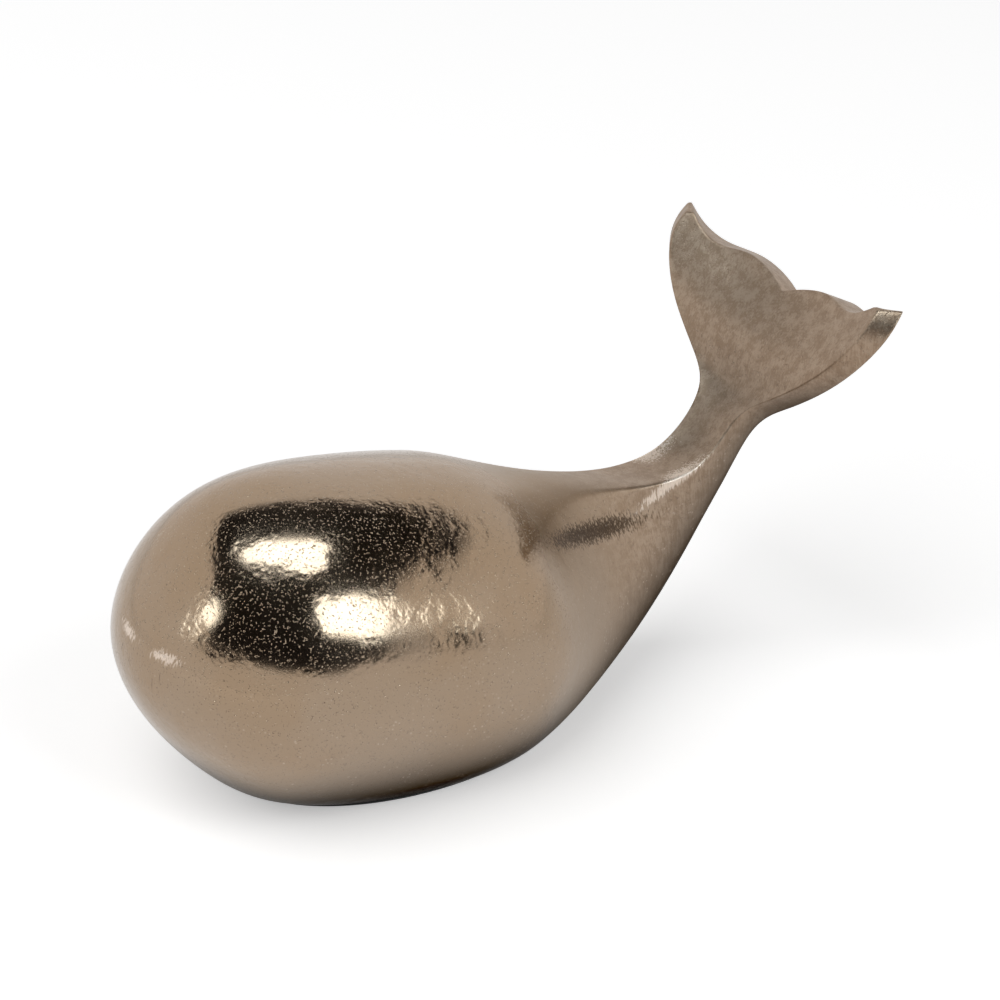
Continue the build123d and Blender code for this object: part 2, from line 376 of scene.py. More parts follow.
def natural_spline(knots, values, at):
    """Cubic spline with free ends through uneven knots."""
    gaps = np.diff(knots)
    count = len(knots)
    rows = np.eye(count)
    sums = np.zeros(count)
    for i in range(1, count - 1):
        rows[i, i - 1:i + 2] = (gaps[i - 1], 2 * (gaps[i - 1] + gaps[i]), gaps[i])
        before = (values[i] - values[i - 1]) / gaps[i - 1]
        sums[i] = 6 * ((values[i + 1] - values[i]) / gaps[i] - before)
    bends = np.linalg.solve(rows, sums)
    i = np.clip(np.searchsorted(knots, at) - 1, 0, count - 2)
    left, right, gap = at - knots[i], knots[i + 1] - at, gaps[i]
    curve = (bends[i] * right ** 3 + bends[i + 1] * left ** 3) / (6 * gap)
    curve += (values[i] / gap - bends[i] * gap / 6) * right
    return curve + (values[i + 1] / gap - bends[i + 1] * gap / 6) * left


def beside_fan(points):
    """How far points stand above the fan rib, and how far behind it."""
    lean = radians(fluke_lean)
    fan_x, fan_z = line_x(np.array(fan_place)), line_z(np.array(fan_place))
    out_x, out_z = points[..., 0] - fan_x, points[..., 2] - fan_z
    return out_x * cos(lean) + out_z * sin(lean), out_x * sin(lean) - out_z * cos(lean)


def trailing_places():
    """Place on each column of the right half at which the trailing edge cuts it."""
    tip = Ribs(np.array(float(last_place)))
    tip_forward = tip.half_height + tip.cup
    front_x = tip.x - tip_forward * np.sin(tip.lean)
    front = np.array([front_x, 0, tip.z + tip_forward * np.cos(tip.lean)])
    forward_level = beside_fan(front)[1]
    edge_thickness = 2 * tip.half_height - tip.flare
    low = np.full((1, half_columns), float(flare_place))
    high = np.full((1, half_columns), last_place + past_tips)
    for _ in range(halvings):
        middle = (low + high) / 2
        points = half_outline(middle)
        above, behind = beside_fan(points)
        steps = (behind - forward_level) / edge_thickness
        past = above > trailing_line(np.abs(points[..., 1]), steps)
        high = np.where(past, middle, high)
        low = np.where(past, low, middle)
    return (low + high) / 2


def skin_rows():
    """Rings of the whole whale from nose to trailing edge, and the row of the joint."""
    nose = np.linspace(0, 1, body_rows + 1)[1:, None] ** nose_crowding * joint_place
    root = joint_place + np.linspace(0, 1, stem_rows + 1)[1:, None] * (flare_place - joint_place)
    body = half_outline(nose)
    stem = half_outline(root)
    ends = trailing_places()
    rim = half_outline(ends)
    rate = np.linalg.norm(rim - half_outline(ends - rate_step), axis=-1) / rate_step
    starts = ends - rim_round / rate
    share = np.linspace(0, 1, fluke_rows + 1)[1:, None]
    fluke = half_outline(flare_place + (starts - flare_place) * share)
    inner = cap_points(rim, rim_round)
    steps = np.linspace(0, 1, round_cells + 1)[1:, None, None]
    bend = round_corner(fluke[-1:], rim, inner, steps)
    rings = whole_ring(np.concatenate([body, stem, fluke, bend]))
    beyond = np.full(len(fluke) + len(bend), last_place)
    places = np.concatenate([nose[:, 0], root[:, 0], beyond])
    return eased_root(rings, places), body_rows - 1


def eased_root(rings, places):
    """Fills the hollows at the root of the tail a little, as hand finishing does."""
    start, end = eased_places
    weight = np.clip(places - start, 0, ease_fade) * np.clip(end - places, 0, ease_fade)
    weight = (weight / weight.max() / 2)[1:-1, None, None]
    for _ in range(ease_rounds):
        lengthwise = (rings[:-2] + rings[2:]) / 2
        round_about = (np.roll(rings, 1, axis=1) + np.roll(rings, -1, axis=1))[1:-1] / 2
        aim = lengthwise + ease_round_share * (round_about - lengthwise)
        rings[1:-1] += weight * (aim - rings[1:-1])
    return rings


def cap_points(rim, inset):
    """The rim drawn in over the trailing face by the inset."""
    loop = rim[0]
    corner = face_cells + round_cells // 2
    last = len(loop) - 1
    front, under = loop[:corner + 1], loop[last - corner:][::-1]
    flank = loop[corner:last - corner + 1]
    span = front[-1, 1]
    thick = np.linalg.norm(front[0] - under[0])
    along = front[:, 1] / span

    def at(u, v):
        f = np.array([np.interp(u, along, front[:, k]) for k in range(3)])
        g = np.array([np.interp(u, along, under[:, k]) for k in range(3)])
        down = np.linspace(0, 1, len(flank))
        e = np.array([np.interp(v, down, flank[:, k]) for k in range(3)])
        straight = (1 - v) * flank[0] + v * flank[-1]
        return (1 - v) * f + v * g + u * (e - straight)

    points = []
    for j in range(len(loop)):
        if j <= corner:
            u, v = along[j], 0.0
        elif j >= last - corner:
            u, v = along[last - j], 1.0
        else:
            u, v = 1.0, (j - corner) / (len(flank) - 1)
        u_in = u * (1 - inset / span)
        v_in = v * (1 - 2 * inset / thick) + inset / thick
        points.append(at(u_in, v_in))
    return np.array(points)[None]


def trailing_cap(columns, last_ring):
    """Cells across the trailing face, between the front and the under columns of the last ring."""
    half = columns // 2
    corner = face_cells + round_cells // 2
    cells = half - 2 * corner
    points, faces = [], []
    index = {}

    def vertex(i, j):
        """i across from the left corner to the right one, j from the front face down."""
        if (i, j) in index:
            return index[(i, j)]
        across = i - corner
        if j == 0:
            column = across % columns
        elif j == cells:
            column = (half - across) % columns
        elif i == 2 * corner:
            column = corner + j
        elif i == 0:
            column = (-corner - j) % columns
        else:
            column = None
        if column is not None:
            index[(i, j)] = ("ring", column)
        else:
            v = j / cells
            front = last_ring[across % columns]
            under = last_ring[(half - across) % columns]
            side = 1 if across > 0 else -1
            edge = last_ring[(side * (corner + j)) % columns]
            top = last_ring[(side * corner) % columns]
            low = last_ring[(side * (half - corner)) % columns]
            share = abs(front[1]) / max(abs(top[1]), tiny)
            point = (1 - v) * front + v * under + share * (edge - (1 - v) * top - v * low)
            index[(i, j)] = ("new", len(points))
            points.append(point)
        return index[(i, j)]

    for i in range(2 * corner):
        for j in range(cells):
            faces.append((vertex(i, j), vertex(i, j + 1), vertex(i + 1, j + 1), vertex(i + 1, j)))
    return points, faces


def whale_skin():
    """One closed skin of the whole whale, in metres, with the ring number of each vertex."""
    rings, joint_row = skin_rows()
    rows, columns = rings.shape[:2]
    nose = np.array([[-nose_reach, 0, rib_z[0]]])
    points = np.concatenate([nose, rings.reshape(-1, 3)])
    faces = [(0, 1 + j, 1 + (j + 1) % columns) for j in range(columns)]
    start = 1 + (rows - 1) * columns
    for first in range(1, start, columns):
        for j in range(columns):
            a, b = first + j, first + (j + 1) % columns
            faces.append((a, a + columns, b + columns, b))
    cap, cap_faces = trailing_cap(columns, rings[-1])
    after = start + columns
    kinds = {"ring": start, "new": after}
    faces += [tuple(kinds[kind] + number for kind, number in face) for face in cap_faces]
    points = np.concatenate([points, np.array(cap)]) * mm
    ring_number = np.repeat(np.arange(rows), columns)
    ring_number = np.concatenate([[0], ring_number, np.full(len(cap), rows)])
    return points, faces, ring_number, joint_row


# Relief of the cast skin, all of it inwards so that the whale stays within its solids, and the
# angle past which an edge shows sharp
skin_allowance = 0.05
relief_size = 11.0
relief_depth = 0.10
relief_seed = 3.0
relief_detail = 2.0
relief_roughness = 0.45
sharp_angle = 24.0


def new_object(name, data):
    piece = bpy.data.objects.new(name, data)
    bpy.context.scene.collection.objects.link(piece)
    return piece


def settle(piece):
    """Turns a piece with its modifiers into a plain mesh."""
    bpy.context.view_layer.update()
    made = piece.evaluated_get(bpy.context.evaluated_depsgraph_get())
    mesh = bpy.data.meshes.new_from_object(made)
    piece.modifiers.clear()
    piece.data = mesh


def mesh_piece(name, points, faces):
    mesh = bpy.data.meshes.new(name)
    mesh.from_pydata(np.asarray(points).tolist(), [], faces)
    mesh.update()
    return new_object(name, mesh)


def dress(piece, material):
    piece.data.materials.clear()
    piece.data.materials.append(material)


def from_bmesh(name, shape):
    mesh = bpy.data.meshes.new(name)
    shape.to_mesh(mesh)
    shape.free()
    return new_object(name, mesh)


def read_vectors(items, name):
    values = np.zeros(len(items) * 3, np.float32)
    items.foreach_get(name, values)
    return values.reshape(-1, 3).astype(float)


def put(value, socket):
    """Links a node's socket to another one, or gives it a value."""
    if isinstance(value, bpy.types.NodeSocket):
        socket.id_data.links.new(value, socket)
    else:
        socket.default_value = value


def add_node(tree, kind, inputs=(), **settings):
    node = tree.nodes.new(kind)
    for name, value in settings.items():
        setattr(node, name, value)
    for name, value in dict(inputs).items():
        put(value, node.inputs[name])
    return node


def calculate(tree, operation, *values):
    inputs = dict(enumerate(values))
    return add_node(tree, "ShaderNodeMath", inputs, operation=operation).outputs[0]


def relief_tree():
    """Geometry Nodes that let the skin wander in and out a little, as a sand mould does."""
    tree = bpy.data.node_groups.new("cast_relief", "GeometryNodeTree")
    sockets = [("Geometry", "INPUT", "Geometry"), ("Material", "INPUT", "Material")]
    sockets += [(name, "INPUT", "Float") for name in ("Allowance", "Size", "Depth", "Seed")]
    sockets += [("Geometry", "OUTPUT", "Geometry")]
    for name, way, kind in sockets:
        tree.interface.new_socket(name, in_out=way, socket_type="NodeSocket" + kind)
    given = add_node(tree, "NodeGroupInput").outputs
    place = add_node(tree, "GeometryNodeInputPosition").outputs[0]
    rate = calculate(tree, "DIVIDE", 1.0, given["Size"])
    inputs = {"Vector": place, "Scale": rate, "W": given["Seed"]}
    inputs.update({"Detail": relief_detail, "Roughness": relief_roughness})
    noise = add_node(tree, "ShaderNodeTexNoise", inputs, noise_dimensions="4D")
    sink = calculate(tree, "MULTIPLY_ADD", noise.outputs[0], given["Depth"], given["Allowance"])
    inward = calculate(tree, "MULTIPLY", sink, -1.0)
    inputs = {0: add_node(tree, "GeometryNodeInputNormal").outputs[0], "Scale": inward}
    shift = add_node(tree, "ShaderNodeVectorMath", inputs, operation="SCALE")
    inputs = {"Geometry": given["Geometry"], "Offset": shift.outputs[0]}
    move = add_node(tree, "GeometryNodeSetPosition", inputs)
    real = add_node(tree, "GeometryNodeRealizeInstances", {0: move.outputs[0]})
    inputs = {"Geometry": real.outputs[0], "Material": given["Material"]}
    finish = add_node(tree, "GeometryNodeSetMaterial", inputs)
    add_node(tree, "NodeGroupOutput", {0: finish.outputs[0]})
    return tree


def give_relief(piece, material):
    tree = relief_tree()
    relief = piece.modifiers.new("relief", "NODES")
    relief.node_group = tree
    values = {
        "Allowance": skin_allowance * mm,
        "Size": relief_size * mm,
        "Depth": relief_depth * mm,
        "Seed": relief_seed,
        "Material": material,
    }
    for socket in tree.interface.items_tree:
        if socket.in_out == "INPUT" and socket.name in values:
            relief[socket.identifier] = values[socket.name]
    settle(piece)


def close_loops(shape):
    """Fills each open loop of edges with one face."""
    open_edges = [edge for edge in shape.edges if len(edge.link_faces) == 1]
    bmesh.ops.holes_fill(shape, edges=open_edges, sides=0)
    bmesh.ops.recalc_face_normals(shape, faces=shape.faces)


def trim(shape, point, normal):
    """Cuts away what lies on the normal's side of a plane, and closes the cut."""
    everything = shape.verts[:] + shape.edges[:] + shape.faces[:]
    bmesh.ops.bisect_plane(
        shape,
        geom=everything,
        plane_co=point,
        plane_no=normal,
        clear_outer=True,
        dist=cut_tolerance,
    )
    close_loops(shape)


def part_of_skin(points, faces, keep):
    """The skin's faces whose corners are all kept, as a closed shape."""
    shape = bmesh.new()
    number = {}
    for i in np.flatnonzero(keep):
        number[i] = shape.verts.new(points[i])
    for face in faces:
        if all(i in number for i in face):
            shape.faces.new([number[i] for i in face])
    close_loops(shape)
    return shape


def cavity_shape():
    """Room inside the body, one wall within its skin."""
    places = np.linspace(cavity_start_share, 1, cavity_rows)[:, None] * joint_place
    return stacked(whole_ring(half_outline(places, wall)) * mm)


def joint_frame():
    """Matrix of the tail joint: z towards the tail, x across the whale."""
    lean = radians(float(line_lean(np.array(joint_place))))
    x, z = float(rib_x[joint_place]), float(rib_z[joint_place])
    out = Vector((cos(lean), 0, sin(lean)))
    across = Vector((0, 1, 0))
    up = out.cross(across)
    origin = Vector((x + spigot_drop * sin(lean), 0, z - spigot_drop * cos(lean))) * mm
    matrix = Matrix((across, up, out)).transposed().to_4x4()
    matrix.translation = origin
    return matrix


def stacked(rings):
    """Closed shape over rings of points, with one face at each end."""
    shape = bmesh.new()
    rows = [[shape.verts.new(point) for point in ring] for ring in rings]
    count = len(rows[0])
    for low, high in zip(rows, rows[1:]):
        for i in range(count):
            k = (i + 1) % count
            shape.faces.new([low[i], low[k], high[k], high[i]])
    shape.faces.new(rows[0])
    shape.faces.new(rows[-1])
    bmesh.ops.recalc_face_normals(shape, faces=shape.faces)
    return shape


def prism(outline, bottom, top, matrix=Matrix()):
    """Closed prism over a flat outline, given in millimetres."""
    return stacked([[matrix @ (Vector((x, y, z)) * mm) for x, y in outline] for z in (bottom, top)])


def oval_outline(length, width, steps=oval_cells):
    turns = [tau * i / steps for i in range(steps)]
    return [(length / 2 * cos(turn), width / 2 * sin(turn)) for turn in turns]


def at_place(outline, place):
    return [(x + place[0], y + place[1]) for x, y in outline]


def rounded_outline(width, height, corner):
    points = []
    for quarter in range(4):
        side_x = 1 if quarter in (0, 3) else -1
        side_y = 1 if quarter in (0, 1) else -1
        for i in range(corner_cells + 1):
            turn = pi / 2 * (quarter + i / corner_cells)
            x = side_x * (width / 2 - corner) + corner * cos(turn)
            y = side_y * (height / 2 - corner) + corner * sin(turn)
            points.append((x, y))
    return points


def screw_places():
    for turn in (screw_angle, 180 - screw_angle, 180 + screw_angle, -screw_angle):
        along = (plate_length - ledge_width) / 2 * cos(radians(turn))
        across = (plate_width - ledge_width) / 2 * sin(radians(turn))
        yield along, across


def combine(piece, shape, operation):
    """Adds a shape to a piece or cuts it out."""
    tool = from_bmesh("tool", shape)
    change = piece.modifiers.new("change", "BOOLEAN")
    change.operation = operation
    change.object = tool
    change.solver = "EXACT"
    settle(piece)
    bpy.data.objects.remove(tool)


def hollow_body(body):
    """Cavity, screw bosses, opening, rebate, tapped holes, socket and bore of the body casting."""
    belly = felt_thickness
    floor = belly + floor_thickness
    plate_top = belly + plate_thickness
    boss_top = floor + boss_rise
    joint = joint_frame()
    room = cavity_shape()
    trim(room, (0, 0, floor * mm), (0, 0, -1))
    bulkhead = joint @ Vector((0, 0, -bulkhead_thickness * mm))
    trim(room, bulkhead, joint.to_3x3() @ Vector((0, 0, 1)))
    cavity = from_bmesh("cavity", room)
    for place in screw_places():
        post = at_place(oval_outline(ledge_width, ledge_width, hole_cells), place)
        combine(cavity, prism(post, floor - boss_sink, boss_top), "DIFFERENCE")
    room = bmesh.new()
    room.from_mesh(cavity.data)
    bpy.data.objects.remove(cavity)
    combine(body, room, "DIFFERENCE")
    opening = oval_outline(plate_length - 2 * ledge_width, plate_width - 2 * ledge_width)
    combine(body, prism(opening, belly - overrun, boss_top + overrun), "DIFFERENCE")
    rebate = oval_outline(plate_length + 2 * plate_clearance, plate_width + 2 * plate_clearance)
    combine(body, prism(rebate, belly - overrun, plate_top), "DIFFERENCE")
    for place in screw_places():
        hole = at_place(oval_outline(screw_diameter, screw_diameter, screw_cells), place)
        top = belly + screw_length + screw_tip_room
        combine(body, prism(hole, belly, top), "DIFFERENCE")
    socket = spigot_outline(socket_clearance)
    combine(body, prism(socket, -spigot_depth - socket_clearance, overrun, joint), "DIFFERENCE")
    bore = stud_diameter + stud_clearance
    hole = oval_outline(bore, bore, hole_cells)
    combine(body, prism(hole, -bulkhead_thickness - overrun, 0, joint), "DIFFERENCE")


def spigot_outline(clearance=0):
    return rounded_outline(
        spigot_width + 2 * clearance, spigot_height + 2 * clearance, spigot_corner + clearance
    )


def fit_tail(tail):
    """Spigot of the tail casting and its hole for the stud."""
    joint = joint_frame()
    combine(tail, prism(spigot_outline(), -spigot_depth, spigot_root, joint), "UNION")
    hole = oval_outline(stud_diameter, stud_diameter, hole_cells)
    combine(tail, prism(hole, -spigot_depth - overrun, stud_in_tail, joint), "DIFFERENCE")


def smooth_skin(piece, tree, normals):
    """Gives the outer skin the whole whale's normals, so that the joint doesn't show."""
    mesh = piece.data
    mesh.shade_smooth()
    mesh.set_sharp_from_angle(angle=radians(sharp_angle))
    found = {}
    for vertex in mesh.vertices:
        _, index, distance = tree.find(vertex.co)
        if distance < same_place:
            found[vertex.index] = normals[index]
    wanted = []
    for polygon in mesh.polygons:
        facing = polygon.normal
        for loop in polygon.loop_indices:
            normal = found.get(mesh.loops[loop].vertex_index)
            if normal is None or facing.dot(normal) < cos(radians(sharp_angle)):
                normal = Vector((0, 0, 0))
            wanted.append(normal)
    mesh.normals_split_custom_set(wanted)


def castings(material):
    """The two visible castings, made from one skin that is parted at the tail joint."""
    points, faces, ring, joint_row = whale_skin()
    skin = mesh_piece("whale_skin", points, faces)
    skin.data.shade_smooth()
    give_relief(skin, material)
    points = read_vectors(skin.data.vertices, "co")
    joint = joint_frame()
    out = np.array(joint.to_3x3() @ Vector((0, 0, 1)))
    origin = np.array(joint.translation)
    at_joint = ring == joint_row
    along = points[ring == joint_row + 1] - points[ring == joint_row - 1]
    short = (origin - points[at_joint]) @ out
    points[at_joint] += along * (short / (along @ out))[:, None]
    skin.data.vertices.foreach_set("co", points.astype(np.float32).ravel())
    skin.data.update()
    normals = [Vector(normal) for normal in read_vectors(skin.data.vertex_normals, "vector")]
    tree = kdtree.KDTree(len(points))
    for i, vertex in enumerate(skin.data.vertices):
        tree.insert(vertex.co, i)
    tree.balance()
    faces = [tuple(polygon.vertices) for polygon in skin.data.polygons]
    bpy.data.objects.remove(skin)
    shape = part_of_skin(points, faces, ring <= joint_row)
    trim(shape, (0, 0, felt_thickness * mm), (0, 0, -1))
    body = from_bmesh("whale_body", shape)
    hollow_body(body)
    tail = from_bmesh("whale_tail", part_of_skin(points, faces, ring >= joint_row))
    fit_tail(tail)
    for piece in (body, tail):
        smooth_skin(piece, tree, normals)
        dress(piece, material)
    return body, tail


# Finishes, as linear colours and sizes in millimetres
bronze_warm = (0.335, 0.238, 0.156, 1)
bronze_cool = (0.365, 0.283, 0.212, 1)
tail_dark = (0.290, 0.203, 0.138, 1)
tail_worn = (0.385, 0.286, 0.207, 1)
fleck_pale = (0.62, 0.52, 0.43, 1)
# Painted shade on the underside, in its colour and in the tint of its reflections
belly_painted_shade = (0.110, 0.090, 0.073, 1)
belly_rim_painted_shade = (0.14, 0.125, 0.11, 1)
# Painted dark reflection in the hollow at the root of the tail
hollow_painted_reflection = (0.070, 0.045, 0.028, 1)
# Painted highlight along the crease at the root of the tail
crease_painted_highlight = (0.72, 0.60, 0.50, 1)
tail_dull_start = 36.0
tail_dull_end = 84.0
# Painted shade: level and rise towards the tail of the darkened underside
belly_level = 28.0
underside_reach = 118.0
underside_rise = 67.0
matt_start = 6.0
matt_end = 48.0
# Where the painted dark reflection lies
hollow_centre = (51, 15.5, 52.8)
hollow_way = (50, -19.3, -14.7)
hollow_facing = (0.477, 0.74, 0.474)
hollow_size = (29, 3.6, 9)
# Where the painted highlight lies
highlight_centre = (84.5, 8.8, 55.0)
highlight_way = (22, 0.4, 8.0)
highlight_facing = (0, 1, 0.2)
highlight_size = (14, 2.0, 6)
spot_core = 0.5
rim_raggedness = 2.4
pit_size = 0.62
pit_detail = 1.0
pit_depth = 0.12
pit_range = (0.27, 0.37)
cluster_size = 8.0
cluster_range = (0.30, 0.60)
cluster_least = 0.45
patch_size = 26.0
patch_range = (0.35, 0.65)
patch_coolness = 0.4
low_coolness = 0.9
mottle_size = 3.2
mottle_detail = 6.0
mottle_roughness = 0.68
scratch_size = 0.5
scratch_length = 9.0
scratch_lean = 35.0
scratch_turn = 20.0
scratch_depth = 0.03
scratch_wear = 0.5
worn_range = (0.62, 0.90)
hatch_range = (0.30, 0.52)
hatch_least = 0.70
fleck_spacing = 1.5
fleck_range = (0.26, 0.10)
fleck_level = 62.0
fleck_share = 0.15
fleck_low_share = 0.5
fleck_patch_size = 7.0
fleck_patch_range = (0.45, 0.62)
grain_size = 0.35
grain_depth = 0.012
plain_detail = 3.0
crumbly = 0.6
polish_range = (0.3, 0.7)
polish = (0.10, 0.16)
low_roughness = 0.10
matt_roughness = 0.29
zinc_grey = (0.55, 0.56, 0.57, 1)
sheet_grey = (0.45, 0.45, 0.46, 1)
felt_black = (0.012, 0.012, 0.013, 1)
felt_rim = 0.5
felt_rim_bend = (0.15, 0.1)
fibre_size = 0.25
fibre_depth = 0.12
fibre_detail = 5.0
fibre_roughness = 0.7
fibre_range = (0.35, 0.7)
fibre_paleness = 2.6
felt_roughness = 0.95
felt_sheen = 0.3
steel_drift_size = 3.0
steel_darkness = 0.8
steel_spread = 0.15
steel_grain_size = 0.3
steel_grain_depth = 0.004
zinc_roughness = 0.28
sheet_roughness = 0.35
white = (1, 1, 1, 1)


class Finish:
    """A node material on Object coordinates, with short calls for its nodes."""

    def __init__(self, name):
        self.material = bpy.data.materials.new(name)
        self.material.use_nodes = True
        self.tree = self.material.node_tree
        self.shader = self.tree.nodes["Principled BSDF"]
        self.place = self.add("ShaderNodeTexCoord").outputs["Object"]

    def add(self, kind, inputs=(), **settings):
        return add_node(self.tree, kind, inputs, **settings)

    def set(self, name, value):
        put(value, self.shader.inputs[name])

    def noise(self, size, detail=plain_detail, roughness=0.5):
        """Noise whose grains are about size millimetres wide."""
        inputs = {"Vector": self.place, "Scale": 1 / (size * mm)}
        inputs.update({"Detail": detail, "Roughness": roughness})
        return self.add("ShaderNodeTexNoise", inputs).outputs[0]

    def cells(self, size):
        inputs = {"Vector": self.place, "Scale": 1 / (size * mm)}
        return self.add("ShaderNodeTexVoronoi", inputs).outputs["Distance"]

    def axis(self, name):
        """Place along one axis of the whale, in metres."""
        return self.add("ShaderNodeSeparateXYZ", {0: self.place}).outputs[name]

    def spot(self, centre, way, facing, size, ragged):
        """1 in the middle of a long spot that both sides of the whale have, 0 at its rim.

        The size is half the spot's length, half its width and half its depth, in millimetres,
        and the ragged value moves its rim in and out."""
        place = self.add("ShaderNodeVectorMath", {0: self.place}, operation="ABSOLUTE").outputs[0]
        inputs = {0: place, 1: Vector(centre) * mm}
        place = self.add("ShaderNodeVectorMath", inputs, operation="SUBTRACT").outputs[0]
        long_way = Vector(way).normalized()
        cross_way = long_way.cross(Vector(facing)).normalized()
        deep_way = cross_way.cross(long_way)
        parts = {}
        for i, (axis, half) in enumerate(zip((long_way, cross_way, deep_way), size)):
            inputs = {0: place, 1: axis / (half * mm)}
            part = self.add("ShaderNodeVectorMath", inputs, operation="DOT_PRODUCT")
            parts[i] = part.outputs["Value"]
        joined = self.add("ShaderNodeCombineXYZ", parts).outputs[0]
        away = self.add("ShaderNodeVectorMath", {0: joined}, operation="LENGTH").outputs["Value"]
        return self.ramp(self.plus(away, ragged), 1.0, spot_core)

    def streaks(self, size, length):
        """Noise drawn out to fine scratches."""
        lean = self.add("ShaderNodeMapping", {"Vector": self.place})
        lean.inputs["Rotation"].default_value = (0, radians(scratch_lean), radians(scratch_turn))
        lean.inputs["Scale"].default_value = (1, 1, size / length)
        inputs = {"Vector": lean.outputs[0], "Scale": 1 / (size * mm), "Detail": plain_detail}
        return self.add("ShaderNodeTexNoise", inputs).outputs[0]

    def ramp(self, value, low, high, start=0.0, end=1.0):
        """Runs smoothly from start at low to end at high."""
        inputs = {"Value": value, 1: low, 2: high, 3: start, 4: end}
        return self.add("ShaderNodeMapRange", inputs, interpolation_type="SMOOTHSTEP").outputs[0]

    def times(self, a, b):
        return calculate(self.tree, "MULTIPLY", a, b)

    def plus(self, a, b):
        return calculate(self.tree, "ADD", a, b)

    def blend(self, share, a, b):
        return self.add("ShaderNodeMix", {0: share, 6: a, 7: b}, data_type="RGBA").outputs[2]

    def bump(self, height, depth, below=None):
        """Relief of a depth in millimetres, on top of a finer or coarser one below."""
        inputs = {"Height": height, "Distance": depth * mm}
        if below is not None:
            inputs["Normal"] = below
        return self.add("ShaderNodeBump", inputs).outputs[0]


def cast_metal_finish():
    """Polished cast metal: pitted on the body, duller, mottled and scratched on the tail."""
    finish = Finish("cast_metal")
    dull = finish.ramp(finish.axis("X"), tail_dull_start * mm, tail_dull_end * mm)
    low_down = finish.ramp(finish.axis("Z"), fleck_level * mm, 0)
    patches = finish.noise(patch_size)
    mottle = finish.noise(mottle_size, mottle_detail, mottle_roughness)
    scratches = finish.streaks(scratch_size, scratch_length)
    patchy = finish.ramp(patches, *patch_range, 0.0, patch_coolness)
    cooler = finish.plus(patchy, finish.times(low_down, low_coolness))
    body_colour = finish.blend(cooler, bronze_warm, bronze_cool)
    wear = finish.plus(mottle, finish.times(scratches, scratch_wear))
    tail_colour = finish.blend(finish.ramp(wear, *worn_range), tail_dark, tail_worn)
    colour = finish.blend(dull, body_colour, tail_colour)
    # Painted shade: the underside darkens towards the floor, reaching higher towards the tail
    back = finish.times(finish.axis("X"), 1 / (underside_reach * mm))
    back = finish.add("ShaderNodeClamp", {0: back}).outputs[0]
    climb = finish.times(finish.times(back, finish.times(back, back)), -underside_rise * mm)
    above = finish.plus(finish.axis("Z"), climb)
    under = finish.ramp(above, belly_level * mm, 0)
    colour = finish.blend(under, colour, belly_painted_shade)
    hatched = finish.ramp(scratches, *hatch_range, hatch_least, 1.0)
    ragged = finish.times(finish.plus(scratches, -0.5), rim_raggedness)
    # Painted dark reflection in the hollow at the root of the tail, hatched by the scratches
    hollow_reflection = finish.spot(hollow_centre, hollow_way, hollow_facing, hollow_size, ragged)
    hollow_reflection = finish.times(hollow_reflection, hatched)
    colour = finish.blend(hollow_reflection, colour, hollow_painted_reflection)
    # Painted highlight along the crease at the root of the tail, hatched by the scratches
    crease_highlight = finish.spot(highlight_centre, highlight_way, highlight_facing, highlight_size, ragged)
    crease_highlight = finish.times(crease_highlight, hatched)
    colour = finish.blend(crease_highlight, colour, crease_painted_highlight)
    flecks = finish.ramp(finish.cells(fleck_spacing), *fleck_range)
    fleck_patches = finish.noise(fleck_patch_size, roughness=crumbly)
    fleck_patches = finish.ramp(fleck_patches, *fleck_patch_range)
    fleck_amount = finish.plus(finish.times(low_down, fleck_low_share), fleck_share)
    shown = finish.times(finish.times(flecks, fleck_patches), fleck_amount)
    finish.set("Base Color", finish.blend(shown, colour, fleck_pale))
    finish.set("Metallic", 1.0)
    # Painted shade in the reflections too: their edge tint darkens on the underside
    finish.set("Specular Tint", finish.blend(under, white, belly_rim_painted_shade))
    rough = finish.ramp(patches, *polish_range, *polish)
    rough = finish.plus(rough, finish.times(low_down, low_roughness))
    matt = finish.ramp(finish.axis("X"), matt_start * mm, matt_end * mm)
    finish.set("Roughness", finish.plus(rough, finish.times(matt, matt_roughness)))
    grain = finish.bump(finish.noise(grain_size, roughness=crumbly), grain_depth)
    brushed = finish.bump(finish.times(scratches, dull), scratch_depth, grain)
    pits = finish.ramp(finish.noise(pit_size, pit_detail), *pit_range)
    clusters = finish.noise(cluster_size, roughness=crumbly)
    clusters = finish.ramp(clusters, *cluster_range, cluster_least, 1.0)
    finish.set("Normal", finish.bump(finish.times(pits, clusters), pit_depth, brushed))
    return finish.material


def steel_finish(name, colour, rough):
    finish = Finish(name)
    drift = finish.noise(steel_drift_size)
    darker = tuple(steel_darkness * part for part in colour[:3]) + (1,)
    finish.set("Base Color", finish.blend(drift, darker, colour))
    finish.set("Metallic", 1.0)
    finish.set("Roughness", finish.ramp(drift, *polish_range, rough, rough + steel_spread))
    finish.set("Normal", finish.bump(finish.noise(steel_grain_size), steel_grain_depth))
    return finish.material


def felt_finish():
    finish = Finish("felt")
    fibres = finish.noise(fibre_size, fibre_detail, fibre_roughness)
    paler = tuple(fibre_paleness * part for part in felt_black[:3]) + (1,)
    finish.set("Base Color", finish.blend(finish.ramp(fibres, *fibre_range), felt_black, paler))
    finish.set("Roughness", felt_roughness)
    finish.set("Sheen Weight", felt_sheen)
    finish.set("Normal", finish.bump(fibres, fibre_depth))
    return finish.material


